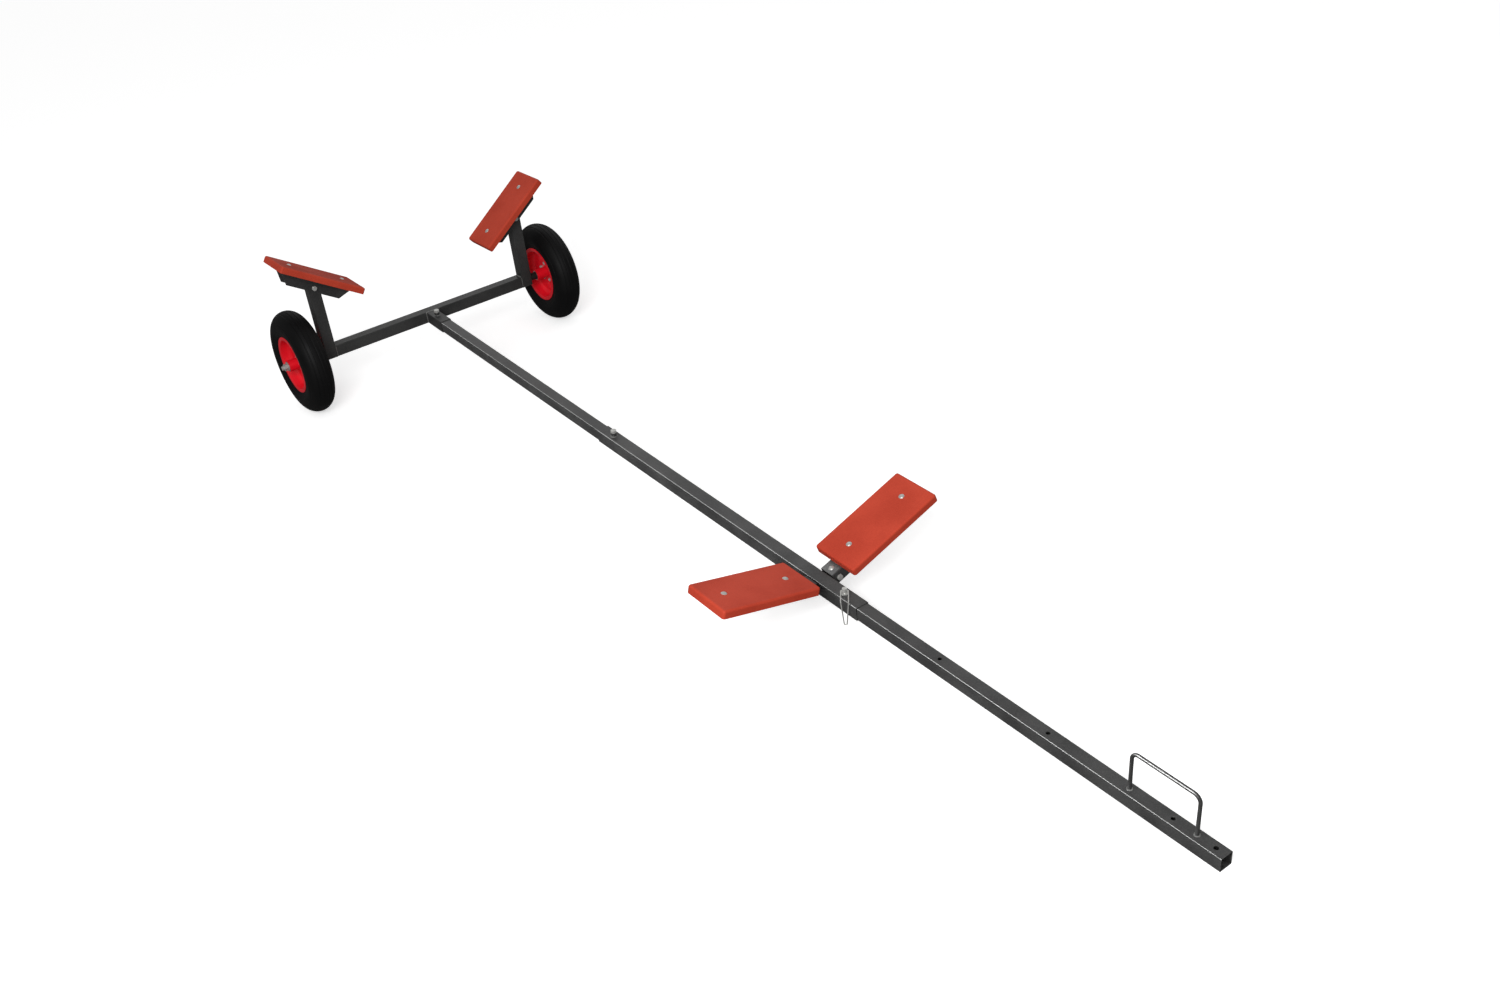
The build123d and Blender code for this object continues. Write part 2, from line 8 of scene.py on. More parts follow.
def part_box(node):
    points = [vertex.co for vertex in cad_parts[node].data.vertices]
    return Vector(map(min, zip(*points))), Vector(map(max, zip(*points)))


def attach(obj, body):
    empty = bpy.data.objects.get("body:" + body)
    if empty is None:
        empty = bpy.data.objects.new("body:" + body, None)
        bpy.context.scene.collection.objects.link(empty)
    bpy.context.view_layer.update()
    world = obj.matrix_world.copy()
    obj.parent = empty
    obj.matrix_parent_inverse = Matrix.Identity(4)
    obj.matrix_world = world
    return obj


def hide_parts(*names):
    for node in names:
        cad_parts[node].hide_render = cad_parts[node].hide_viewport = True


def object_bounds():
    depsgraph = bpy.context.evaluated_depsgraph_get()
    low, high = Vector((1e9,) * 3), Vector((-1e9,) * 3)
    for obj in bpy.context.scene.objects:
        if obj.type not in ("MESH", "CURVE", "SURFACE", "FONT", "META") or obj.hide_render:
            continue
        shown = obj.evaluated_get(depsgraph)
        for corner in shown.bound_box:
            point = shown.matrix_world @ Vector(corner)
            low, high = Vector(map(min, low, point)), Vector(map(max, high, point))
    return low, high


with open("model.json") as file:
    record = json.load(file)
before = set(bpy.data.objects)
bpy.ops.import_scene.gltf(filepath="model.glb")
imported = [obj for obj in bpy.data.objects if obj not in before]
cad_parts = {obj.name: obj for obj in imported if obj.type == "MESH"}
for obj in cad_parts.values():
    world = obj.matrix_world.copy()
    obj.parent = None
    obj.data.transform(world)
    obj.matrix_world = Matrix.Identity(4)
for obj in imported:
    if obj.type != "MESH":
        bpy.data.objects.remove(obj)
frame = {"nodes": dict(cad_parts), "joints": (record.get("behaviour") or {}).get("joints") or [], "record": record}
cad_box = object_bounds()

# ---- Camera ---------------------------------------------------------------------------------
# It stands ahead of the trolley on its left side, above head height, looking back along it,
# with a slight roll.
camera_place = Vector((-2.1411, -3.5541, 2.5858))
camera_azimuth = radians(-33.293)
camera_elevation = radians(31.096)
camera_roll = radians(-7.157)
camera_back = Vector((
    sin(camera_azimuth) * cos(camera_elevation),
    -cos(camera_azimuth) * cos(camera_elevation),
    sin(camera_elevation),
))
level_right = Vector((cos(camera_azimuth), sin(camera_azimuth), 0))
level_up = camera_back.cross(level_right)
camera_right = level_right * cos(camera_roll) + level_up * sin(camera_roll)
camera_up = level_up * cos(camera_roll) - level_right * sin(camera_roll)
camera_data = bpy.data.cameras.new("camera")
camera_data.sensor_width = 36
camera_data.lens = 36.923
camera = bpy.data.objects.new("camera", camera_data)
bpy.context.scene.collection.objects.link(camera)
camera.matrix_world = Matrix.Translation(camera_place) @ Matrix(
    (camera_right, camera_up, camera_back)
).transposed().to_4x4()
bpy.context.scene.camera = camera

# ---- Studio ---------------------------------------------------------------------------------
# A pale floor under an even sky, with a soft key light on the left. The panels show only as
# reflections: one draws a sheen along every tube, two light the drawbar's upper left corner and
# one lights the front right bracket.
bpy.context.scene.view_settings.view_transform = "Standard"
sky_strength = 0.5
sky_in_gloss = 0.2
world = bpy.data.worlds.new("studio")
world.use_nodes = True
sky_tree = world.node_tree
sky_tree.nodes["Background"].inputs["Color"].default_value = (1, 1, 1, 1)
sky_ray = sky_tree.nodes.new("ShaderNodeLightPath")
sky_level = sky_tree.nodes.new("ShaderNodeMapRange")
sky_level.inputs["To Min"].default_value = sky_strength
sky_level.inputs["To Max"].default_value = sky_in_gloss
sky_tree.links.new(sky_ray.outputs["Is Glossy Ray"], sky_level.inputs["Value"])
sky_seen = sky_tree.nodes.new("ShaderNodeMath")
sky_seen.operation = "MAXIMUM"
sky_tree.links.new(sky_level.outputs[0], sky_seen.inputs[0])
sky_tree.links.new(sky_ray.outputs["Is Camera Ray"], sky_seen.inputs[1])
sky_tree.links.new(sky_seen.outputs[0], sky_tree.nodes["Background"].inputs["Strength"])
bpy.context.scene.world = world

floor_mesh = bmesh.new()
bmesh.ops.create_grid(floor_mesh, x_segments=1, y_segments=1, size=60)
floor_data = bpy.data.meshes.new("floor")
floor_mesh.to_mesh(floor_data)
floor_mesh.free()
floor = bpy.data.objects.new("floor", floor_data)
bpy.context.scene.collection.objects.link(floor)
floor_material = bpy.data.materials.new("floor_paper")
floor_material.use_nodes = True
floor_tree = floor_material.node_tree
floor_shader = floor_tree.nodes["Principled BSDF"]
floor_shader.inputs["Roughness"].default_value = 0.95
floor_shader.inputs["Specular IOR Level"].default_value = 0.1
floor_ray = floor_tree.nodes.new("ShaderNodeLightPath")
floor_tint = floor_tree.nodes.new("ShaderNodeMix")
floor_tint.data_type = "RGBA"
floor_tint.inputs[6].default_value = (0.22, 0.22, 0.22, 1)
floor_tint.inputs[7].default_value = (0.93, 0.93, 0.93, 1)
floor_tree.links.new(floor_ray.outputs["Is Camera Ray"], floor_tint.inputs[0])
floor_tree.links.new(floor_tint.outputs[2], floor_shader.inputs["Base Color"])
floor_glow = floor_tree.nodes.new("ShaderNodeMath")
floor_glow.operation = "MULTIPLY"
floor_glow.inputs[1].default_value = 0.5
floor_tree.links.new(floor_ray.outputs["Is Camera Ray"], floor_glow.inputs[0])
floor_tree.links.new(floor_glow.outputs[0], floor_shader.inputs["Emission Strength"])
floor_shader.inputs["Emission Color"].default_value = (1, 1, 1, 1)
floor_data.materials.append(floor_material)


def soft_box(name, place, aim, width, height, watts, only_gloss=False, lit=()):
    """Studio light that faces a point, and lights only the given objects if there are any."""
    data = bpy.data.lights.new(name, "AREA")
    data.shape = "RECTANGLE"
    data.size = width
    data.size_y = height
    data.energy = watts
    lamp = bpy.data.objects.new(name, data)
    bpy.context.scene.collection.objects.link(lamp)
    lamp.location = place
    lamp.rotation_euler = (Vector(place) - Vector(aim)).to_track_quat("Z", "Y").to_euler()
    lamp.visible_diffuse = not only_gloss
    if lit:
        lamp.light_linking.receiver_collection = bpy.data.collections.new(name + "_lights")
        for piece in lit:
            lamp.light_linking.receiver_collection.objects.link(piece)


drawbar_steel = [
    "drawbar_rear", "drawbar_sleeve", "drawbar_front", "front_lug_left", "front_lug_right", "handle"
]
drawbar_pieces = [frame["nodes"][name] for name in drawbar_steel]
soft_box("key_box", (-3.3, -2.9, 3.2), (0, -0.2, 0.1), 2.4, 2.4, 220)
soft_box("sheen_panel", (2.7, 2.6, 3.0), (0, -0.2, 0), 7.0, 4.0, 60, only_gloss=True)
soft_box(
    "front_edge_panel", (-3.9, 0.8, 3.2), (0, -0.9, 0), 2.4, 3.0, 2400,
    only_gloss=True, lit=drawbar_pieces,
)
soft_box(
    "bracket_panel", (-0.5, 1.9, 3.1), (0.1, -0.7, 0.1), 2.4, 2.4, 90,
    only_gloss=True, lit=[frame["nodes"]["bracket_front_right"]],
)
soft_box(
    "rear_edge_panel", (-1.9, 3.7, 2.0), (0, 0.5, 0), 3.0, 2.6, 320,
    only_gloss=True, lit=drawbar_pieces,
)

# ---- Powder-coated steel tube and plate -----------------------------------------------------
# The beam, uprights, drawbar tubes, brackets, lugs and handle are mild steel with a satin
# charcoal powder coat. Their corners are painted lighter: partly rubbed wear, partly a painted
# highlight that stands in for the sheen the corners catch.
axle = Vector(frame["joints"][0]["pos_m"])
axle.x = 0
mounts = {mount["name"]: mount for mount in frame["record"]["mounts"]}
upward = Vector(mounts["hitch_hole"]["axis"]).normalized()
along = Vector((0, -upward.z, upward.y))
across = Vector((1, 0, 0))


def shader_group(name, numbers, outputs):
    """Empty node group with number inputs and the given outputs."""
    group = bpy.data.node_groups.new(name, "ShaderNodeTree")
    for label, value in numbers.items():
        socket = group.interface.new_socket(label, in_out="INPUT", socket_type="NodeSocketFloat")
        socket.default_value = value
    group.interface.new_socket("Vector", in_out="INPUT", socket_type="NodeSocketVector")
    for label in outputs:
        group.interface.new_socket(label, in_out="OUTPUT", socket_type="NodeSocketFloat")
    return group, group.nodes.new("NodeGroupInput"), group.nodes.new("NodeGroupOutput")


def math_node(tree, operation, first, second):
    """Math node on two values, each a socket or a number."""
    node = tree.nodes.new("ShaderNodeMath")
    node.operation = operation
    for slot, value in zip(node.inputs, (first, second)):
        if isinstance(value, (int, float)):
            slot.default_value = value
        else:
            tree.links.new(value, slot)
    return node.outputs[0]


def noise_node(tree, vector, scale, detail):
    """Noise texture's value at a scale, which is a socket or a number."""
    node = tree.nodes.new("ShaderNodeTexNoise")
    tree.links.new(vector, node.inputs["Vector"])
    node.inputs["Detail"].default_value = detail
    if isinstance(scale, (int, float)):
        node.inputs["Scale"].default_value = scale
    else:
        tree.links.new(scale, node.inputs["Scale"])
    return node.outputs[0]


def ramp_node(tree, value, low, high):
    """Value turned into 0 below low and 1 above high, smoothly."""
    node = tree.nodes.new("ShaderNodeMapRange")
    node.interpolation_type = "SMOOTHSTEP"
    tree.links.new(value, node.inputs["Value"])
    node.inputs["From Min"].default_value = low
    node.inputs["From Max"].default_value = high
    return node.outputs[0]


# Corner wear and painted sheen: bright where the surface turns sharply, broken up by noise. The lighter corners
# stand for rubbed wear, and on the charcoal coat also for a painted highlight.
corner_wear_and_sheen, edge_mask_in, edge_mask_out = shader_group(
    "corner_wear_and_sheen", {"Radius": 0.002, "Grain": 60}, ["Mask"]
)
rounded = corner_wear_and_sheen.nodes.new("ShaderNodeBevel")
rounded.samples = 6
corner_wear_and_sheen.links.new(edge_mask_in.outputs["Radius"], rounded.inputs["Radius"])
true_face = corner_wear_and_sheen.nodes.new("ShaderNodeNewGeometry")
agreement = corner_wear_and_sheen.nodes.new("ShaderNodeVectorMath")
agreement.operation = "DOT_PRODUCT"
corner_wear_and_sheen.links.new(rounded.outputs["Normal"], agreement.inputs[0])
corner_wear_and_sheen.links.new(true_face.outputs["Normal"], agreement.inputs[1])
turning = math_node(corner_wear_and_sheen, "SUBTRACT", 1.0, agreement.outputs["Value"])
edge_line = ramp_node(corner_wear_and_sheen, turning, 0.02, 0.25)
edge_noise = noise_node(corner_wear_and_sheen, edge_mask_in.outputs["Vector"], edge_mask_in.outputs["Grain"], 4)
break_up = ramp_node(corner_wear_and_sheen, edge_noise, 0.35, 0.6)
worn_and_sheen_line = math_node(corner_wear_and_sheen, "MULTIPLY", edge_line, break_up)
corner_wear_and_sheen.links.new(worn_and_sheen_line, edge_mask_out.inputs["Mask"])

# Mottle: large soft patches and a fine grain for colour, roughness and relief
mottle, mottle_in, mottle_out = shader_group(
    "mottle", {"Patch": 6, "Grain": 500}, ["Patches", "Fine"]
)
patches = noise_node(mottle, mottle_in.outputs["Vector"], mottle_in.outputs["Patch"], 3)
mottle.links.new(ramp_node(mottle, patches, 0.3, 0.7), mottle_out.inputs["Patches"])
grains = noise_node(mottle, mottle_in.outputs["Vector"], mottle_in.outputs["Grain"], 2)
mottle.links.new(grains, mottle_out.inputs["Fine"])


def finish_material(
    name, body, patch, worn_and_sheen, rough, relief, patch_size, grain_size, wear_and_sheen, plain
):
    """Material whose colour and roughness vary in patches, with a fine grain and lighter corners.

    body and patch are colours, and the corner colour paints the corners lighter, for rubbed wear
    and, where it stands in for the sheen of a corner, a painted highlight. rough is a range, the
    corner (radius, amount) pair sets that mask, and plain holds the shader's own fixed values.
    """
    material = bpy.data.materials.new(name)
    material.use_nodes = True
    tree = material.node_tree
    shader = tree.nodes["Principled BSDF"]
    for label, value in plain.items():
        shader.inputs[label].default_value = value
    place = tree.nodes.new("ShaderNodeTexCoord").outputs["Object"]
    spots = tree.nodes.new("ShaderNodeGroup")
    spots.node_tree = mottle
    spots.inputs["Patch"].default_value = 1 / patch_size
    spots.inputs["Grain"].default_value = 1 / grain_size
    edges = tree.nodes.new("ShaderNodeGroup")
    edges.node_tree = corner_wear_and_sheen
    edges.inputs["Radius"].default_value = wear_and_sheen[0]
    tree.links.new(place, spots.inputs["Vector"])
    tree.links.new(place, edges.inputs["Vector"])
    tint = tree.nodes.new("ShaderNodeMix")
    tint.data_type = "RGBA"
    tint.inputs[6].default_value = (*body, 1)
    tint.inputs[7].default_value = (*patch, 1)
    speckle = ramp_node(tree, spots.outputs["Fine"], 0.45, 0.62)
    half_patches = math_node(tree, "MULTIPLY", spots.outputs["Patches"], 0.5)
    half_speckle = math_node(tree, "MULTIPLY", speckle, 0.5)
    speckled = math_node(tree, "ADD", half_patches, half_speckle)
    tree.links.new(speckled, tint.inputs[0])
    # Corners painted lighter: rubbed wear, and on the powder coat also a painted highlight.
    rub_and_sheen = tree.nodes.new("ShaderNodeMix")
    rub_and_sheen.data_type = "RGBA"
    rub_and_sheen.inputs[7].default_value = (*worn_and_sheen, 1)
    tree.links.new(tint.outputs[2], rub_and_sheen.inputs[6])
    tree.links.new(math_node(tree, "MULTIPLY", edges.outputs["Mask"], wear_and_sheen[1]), rub_and_sheen.inputs[0])
    tree.links.new(rub_and_sheen.outputs[2], shader.inputs["Base Color"])
    sheen = tree.nodes.new("ShaderNodeMapRange")
    tree.links.new(spots.outputs["Patches"], sheen.inputs["Value"])
    sheen.inputs["To Min"].default_value = rough[0]
    sheen.inputs["To Max"].default_value = rough[1]
    tree.links.new(sheen.outputs[0], shader.inputs["Roughness"])
    bump = tree.nodes.new("ShaderNodeBump")
    bump.inputs["Distance"].default_value = relief
    bump.inputs["Strength"].default_value = 0.6
    tree.links.new(spots.outputs["Fine"], bump.inputs["Height"])
    tree.links.new(bump.outputs["Normal"], shader.inputs["Normal"])
    return material


def coat(nodes, material):
    """Give CAD nodes a finish."""
    for name in nodes:
        materials = frame["nodes"][name].data.materials
        materials.clear()
        materials.append(material)


# The corner colour is ten times lighter than the coat: it paints in the highlight along the corners as well as
# rubbed wear.
charcoal = finish_material(
    "charcoal_powder_coat",
    body=(0.022, 0.022, 0.022), patch=(0.050, 0.050, 0.049), worn_and_sheen=(0.22, 0.22, 0.21),
    rough=(0.34, 0.46), relief=0.0006, patch_size=0.11, grain_size=0.0034, wear_and_sheen=(0.0018, 0.35),
    plain={"Specular IOR Level": 0.35},
)
rear_frame_steel = ["axle_beam", "upright_left", "upright_right", "socket_stub"]
places = ["rear_left", "rear_right", "front_left", "front_right"]
coat(rear_frame_steel + drawbar_steel + [f"bracket_{place}" for place in places], charcoal)

# ---- Weld beads -----------------------------------------------------------------------------
# Short rippled beads of weld metal join the beam, stub, lugs and handle. They are coated with
# the frame, and the coat is thin on their crests.
weld_steel = finish_material(
    "coated_weld",
    body=(0.08, 0.08, 0.08), patch=(0.24, 0.24, 0.23), worn_and_sheen=(0.6, 0.6, 0.58),
    rough=(0.30, 0.42), relief=0.0002, patch_size=0.006, grain_size=0.0015, wear_and_sheen=(0.001, 0.8),
    plain={"Specular IOR Level": 0.5},
)
ripple_step = 0.0016


def new_piece(name, mesh, material, body, smooth_angle=35):
    """Finished object from a bmesh, riding on a body, with smooth faces between sharp edges."""
    bmesh.ops.recalc_face_normals(mesh, faces=mesh.faces[:])
    for edge in mesh.edges:
        if len(edge.link_faces) == 2:
            edge.smooth = edge.calc_face_angle(0) < radians(smooth_angle)
    for face in mesh.faces:
        face.smooth = True
    data = bpy.data.meshes.new(name)
    mesh.to_mesh(data)
    mesh.free()
    data.materials.append(material)
    piece = bpy.data.objects.new(name, data)
    bpy.context.scene.collection.objects.link(piece)
    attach(piece, body)
    return piece


def turned_to(direction):
    """Rotation that takes +Z to a direction."""
    return direction.to_track_quat("Z", "Y").to_matrix().to_4x4()


def weld_run(mesh, start, end, size):
    """Straight rippled bead from one point to another."""
    run = end - start
    count = max(3, round(run.length / ripple_step))
    made = bmesh.ops.create_circle(mesh, radius=size * 0.5, segments=8)
    placing = Matrix.Translation(start) @ turned_to(run)
    bmesh.ops.transform(mesh, matrix=placing, verts=made["verts"])
    ring = list({edge for vert in made["verts"] for edge in vert.link_edges})
    bmesh.ops.contextual_create(mesh, geom=ring)
    centre = start.copy()
    for step in range(count):
        fresh = bmesh.ops.extrude_edge_only(mesh, edges=ring)["geom"]
        verts = [item for item in fresh if isinstance(item, bmesh.types.BMVert)]
        ring = [item for item in fresh if isinstance(item, bmesh.types.BMEdge)]
        centre += run / count
        reach = size * (0.5 if step == count - 1 else 1.0 if step % 2 else 0.84)
        for vert in verts:
            vert.co += run / count
            vert.co = centre + (vert.co - centre).normalized() * reach
    bmesh.ops.contextual_create(mesh, geom=ring)


def weld_ring(mesh, centre, axis, radius, size):
    """Rippled bead around a rod."""
    made = bmesh.ops.create_circle(mesh, radius=size, segments=8)
    side = axis.orthogonal().normalized()
    tangent = axis.cross(side)
    placing = Matrix.Translation(centre + side * radius) @ turned_to(tangent)
    bmesh.ops.transform(mesh, matrix=placing, verts=made["verts"])
    ring = list({edge for vert in made["verts"] for edge in vert.link_edges})
    count = 2 * round(tau * radius / ripple_step / 2)
    bmesh.ops.spin(mesh, geom=ring, cent=centre, axis=axis, angle=tau, steps=count, use_merge=True)
    for vert in mesh.verts:
        offset = vert.co - centre
        flat = offset - axis * offset.dot(axis)
        if flat.length > radius + 2 * size or abs(offset.dot(axis)) > 2 * size:
            continue
        turn = atan2(flat.dot(tangent), flat.dot(side))
        core = centre + flat.normalized() * radius
        vert.co = core + (vert.co - core) * (0.9 + 0.1 * cos(turn * count / 2))


def on_bar(station, rise, side=0.0):
    """Point at a station along the drawbar, raised square to it and moved across."""
    return axle + along * station + upward * rise + across * side


beam_low, beam_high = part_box("axle_beam")
weld_size = 0.0026
end_gap = 0.004
frame_welds = bmesh.new()
for hand in (-1, 1):
    end = hand * beam_high.x
    weld_run(
        frame_welds,
        Vector((end, beam_low.y + end_gap, beam_high.z)),
        Vector((end, beam_high.y - end_gap, beam_high.z)),
        weld_size,
    )
    for face in (beam_low.y, beam_high.y):
        weld_run(
            frame_welds,
            Vector((end, face, beam_low.z + end_gap)), Vector((end, face, beam_high.z - 0.003)),
            weld_size * 0.5,
        )
half_tube = (beam_high.z - beam_low.z) / 2
stub_corners = [
    Vector((hand * half_tube, beam_low.y, axle.z + rise * half_tube))
    for hand, rise in ((-1, -0.9), (-1, 0.94), (1, 0.94), (1, -0.9))
]
for first, second in zip(stub_corners, stub_corners[1:]):
    weld_run(frame_welds, first, second, weld_size)

lug_low, lug_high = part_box("front_lug_right")
lug_middle = (axle.y - (lug_low.y + lug_high.y) / 2) / -along.y
lug_half = 0.021
for hand in (-1, 1):
    for rise in (0.006, -0.010):
        edge = hand * (half_tube + 0.002)
        weld_run(
            frame_welds,
            on_bar(lug_middle - lug_half, rise, edge), on_bar(lug_middle + lug_half, rise, edge),
            weld_size * 0.8,
        )

handle_low, handle_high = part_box("handle")
rod_radius = (handle_high.x - handle_low.x) / 2
half_inner = mounts["hitch_hole"]["dims"]["length_mm"] / 2000
post_station = (Vector(mounts["bow_post_hole"]["pos_m"]) - axle).dot(along)
front_foot = post_station + 0.068
rear_foot = post_station - 0.129
for foot in (rear_foot, front_foot):
    weld_ring(frame_welds, on_bar(foot, half_inner), upward, rod_radius + 0.001, weld_size)
new_piece("frame_welds", frame_welds, weld_steel, "frame", 60)

# ---- Tyres ----------------------------------------------------------------------------------
# Four-ply rubber barrow tyres: a round section with shallow ribs around the crown, a moulded
# line on each wall and a bead that sits on the rim. Each is one closed shell.
tyre_rubber = finish_material(
    "tyre_rubber",
    body=(0.0025, 0.0025, 0.0028), patch=(0.0045, 0.0045, 0.0045), worn_and_sheen=(0.02, 0.02, 0.02),
    rough=(0.5, 0.62), relief=0.0003, patch_size=0.07, grain_size=0.0018, wear_and_sheen=(0.001, 0.3),
    plain={"Specular IOR Level": 0.16},
)
wheel_sides = (("left", -1), ("right", 1))
wheel_spots = {
    hand: Vector(frame["joints"][index]["pos_m"]) for index, (hand, _) in enumerate(wheel_sides)
}
tyre_low, tyre_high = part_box("tyre_right")
wheel_radius = (tyre_high.z - tyre_low.z) / 2
section_radius = (tyre_high.x - tyre_low.x) / 2
rim_low, rim_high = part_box("rim_outer_right")
lip_radius = (rim_high.z - rim_low.z) / 2
lip_half = rim_high.x - wheel_spots["right"].x
tyre_wall = 0.008
rim_sheet = 0.0025
bead_face = lip_half - rim_sheet
rib_depth = 0.0016
rib_angles = (-27, -9, 9, 27)
rib_half = 2.2
wall_grooves = ((68, 71, 0.0009), (104, 112, 0.0012))
lining_end, lining_step = 126, 9


def turned(mesh, outline, centre, direction, steps, closed=False):
    """Outline of (distance along, radius) points, turned about a direction."""
    turn = Matrix.Translation(centre) @ turned_to(direction)
    verts = [mesh.verts.new(turn @ Vector((radius, 0, out))) for out, radius in outline]
    pairs = list(zip(verts, verts[1:])) + ([(verts[-1], verts[0])] if closed else [])
    edges = [mesh.edges.new(pair) for pair in pairs]
    bmesh.ops.spin(
        mesh, geom=verts + edges, cent=centre, axis=direction, angle=tau, steps=steps,
        use_merge=True,
    )
    bmesh.ops.remove_doubles(mesh, verts=mesh.verts[:], dist=1e-6)


def wall_point(reach, degrees_out):
    """Point on the tyre's round section, as (distance along, radius)."""
    lean = radians(degrees_out)
    return reach * sin(lean), wheel_radius - section_radius + reach * cos(lean)


bead_angle = atan2(bead_face, -((section_radius ** 2 - bead_face ** 2) ** 0.5))
bead_degrees = round(bead_angle * 180 / pi)
tyre_outline = []
for half_degrees in range(-bead_degrees * 2, bead_degrees * 2 + 1, 3):
    degrees_out = half_degrees / 2
    reach = section_radius
    if min(abs(degrees_out - rib) for rib in rib_angles) < rib_half:
        reach -= rib_depth
    for low, high, depth in wall_grooves:
        if low < abs(degrees_out) < high:
            reach -= depth
    tyre_outline.append(wall_point(reach, degrees_out))
seat_radius = lip_radius - 0.0125
bead_width = 0.009
tyre_outline += [(bead_face, seat_radius), (bead_face - bead_width, seat_radius)]
for degrees_out in range(lining_end, -lining_end - 1, -lining_step):
    tyre_outline.append(wall_point(section_radius - tyre_wall, degrees_out))
tyre_outline += [(-bead_face + bead_width, seat_radius), (-bead_face, seat_radius)]
for hand, side in wheel_sides:
    tyre_mesh = bmesh.new()
    turned(tyre_mesh, tyre_outline, wheel_spots[hand], across * side, 120, closed=True)
    tyre = new_piece(f"moulded_tyre_{hand}", tyre_mesh, tyre_rubber, f"{hand}_wheel", 50)
    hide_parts(f"tyre_{hand}")

# ---- Rims -----------------------------------------------------------------------------------
# Two pressed steel halves in bright red gloss paint, bolted face to face. Five lobes are
# pressed into each disc, and the outer edge is rolled over to hold the tyre's bead.
rim_paint = finish_material(
    "red_gloss_paint",
    body=(0.86, 0.006, 0.020), patch=(0.72, 0.004, 0.014), worn_and_sheen=(0.9, 0.02, 0.03),
    rough=(0.34, 0.44), relief=0.0001, patch_size=0.05, grain_size=0.002, wear_and_sheen=(0.0008, 0.2),
    plain={"Specular IOR Level": 0.4},
)
hub_low, hub_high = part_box("hub_right")
hub_half = (hub_high.x - hub_low.x) / 2
hub_radius = 0.022
disc_radius = seat_radius - 0.0125
disc_skins = (0.005, 0.0025)
lobe_count = 5
lobe_centre = 0.064
lobe_straight = 0.006
lobe_width = 0.024
lobe_height = 0.004
lobe_slope = 0.45
ring_count = 20
disc_rings = [
    hub_radius + (disc_radius - hub_radius) * step / ring_count for step in range(ring_count)
]
rolled_edge = [
    (lip_half - 0.004, seat_radius - 0.0025), (lip_half - 0.0014, seat_radius - 0.0015),
    (lip_half, seat_radius + 0.002), (lip_half, lip_radius - 0.002),
    (lip_half - 0.0005, lip_radius - 0.0005), (lip_half - 0.00125, lip_radius),
    (lip_half - 0.002, lip_radius - 0.0005), (bead_face, lip_radius - 0.002),
    (bead_face, seat_radius + 0.003), (lip_half - 0.0032, seat_radius + 0.0009),
    (lip_half - 0.005, seat_radius),
]
cone_out = [
    (0.0058, disc_radius + 0.0006), (0.0076, disc_radius + 0.0026),
    (0.0158, seat_radius - 0.0040), (0.0185, seat_radius - 0.0027),
]
cone_in = [
    (0.0170, seat_radius - 0.0002), (0.0140, seat_radius - 0.0022),
    (0.0056, disc_radius + 0.0044), (0.0030, disc_radius + 0.0014),
]
rim_outline = [(disc_skins[0], radius) for radius in disc_rings] + cone_out + rolled_edge + cone_in
rim_outline += [(disc_skins[1], radius) for radius in reversed(disc_rings)]
for hand, side in wheel_sides:
    for face, facing in (("outer", 1), ("inner", -1)):
        rim_mesh = bmesh.new()
        centre = wheel_spots[hand]
        outward = across * side * facing
        turned(rim_mesh, rim_outline, centre, outward, 180, closed=True)
        for vert in rim_mesh.verts:
            offset = vert.co - centre
            if offset.dot(outward) > disc_skins[0] + 0.0001:
                continue
            radius = hypot(offset.y, offset.z)
            turn = (atan2(offset.y, offset.z) / tau * lobe_count) % 1 - 0.5
            sideways = radius * turn * tau / lobe_count
            outside = max(abs(radius - lobe_centre) - lobe_straight, 0)
            away = hypot(outside, sideways) / (lobe_width / 2)
            if away < 1:
                rise = min(1, (1 - away) / lobe_slope)
                vert.co += outward * lobe_height * rise * rise * (3 - 2 * rise)
        rim = new_piece(
            f"pressed_rim_{face}_{hand}", rim_mesh, rim_paint, f"{hand}_wheel", 40
        )
        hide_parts(f"rim_{face}_{hand}")

# ---- Hubs and bearings ----------------------------------------------------------------------
# A steel hub tube in the rim's red, with a ball bearing pressed into each end: a ground outer
# ring, a dark seal and a ground inner ring. A black spacer keeps it off the upright.
spacer_paint = finish_material(
    "black_spacer_paint",
    body=(0.010, 0.010, 0.010), patch=(0.016, 0.015, 0.014), worn_and_sheen=(0.12, 0.12, 0.12),
    rough=(0.35, 0.5), relief=0.0002, patch_size=0.02, grain_size=0.002, wear_and_sheen=(0.001, 0.4),
    plain={"Specular IOR Level": 0.4},
)
ground_steel = finish_material(
    "ground_steel",
    body=(0.55, 0.55, 0.56), patch=(0.42, 0.42, 0.43), worn_and_sheen=(0.75, 0.75, 0.75),
    rough=(0.25, 0.35), relief=0.0001, patch_size=0.01, grain_size=0.001, wear_and_sheen=(0.0005, 0.5),
    plain={"Metallic": 1.0},
)
seal_rubber = finish_material(
    "seal_rubber",
    body=(0.012, 0.012, 0.012), patch=(0.018, 0.018, 0.018), worn_and_sheen=(0.05, 0.05, 0.05),
    rough=(0.5, 0.6), relief=0.0001, patch_size=0.01, grain_size=0.001, wear_and_sheen=(0.0005, 0.2),
    plain={"Specular IOR Level": 0.4},
)
coat(["hub_left", "hub_right"], rim_paint)
coat(["axle_spacers"], spacer_paint)
coat(["bearings_left", "bearings_right"], ground_steel)
coat(["inner_tube_left", "inner_tube_right"], seal_rubber)
for hand, side in wheel_sides:
    seals = bmesh.new()
    for end in (-1, 1):
        turned(
            seals, [(0, 0.0125), (0.0004, 0.0128), (0.0004, 0.0157), (0, 0.016)],
            wheel_spots[hand] + across * end * (hub_half - 0.0001), across * end, 48, closed=True,
        )
    new_piece(f"bearing_seals_{hand}", seals, seal_rubber, f"{hand}_wheel")

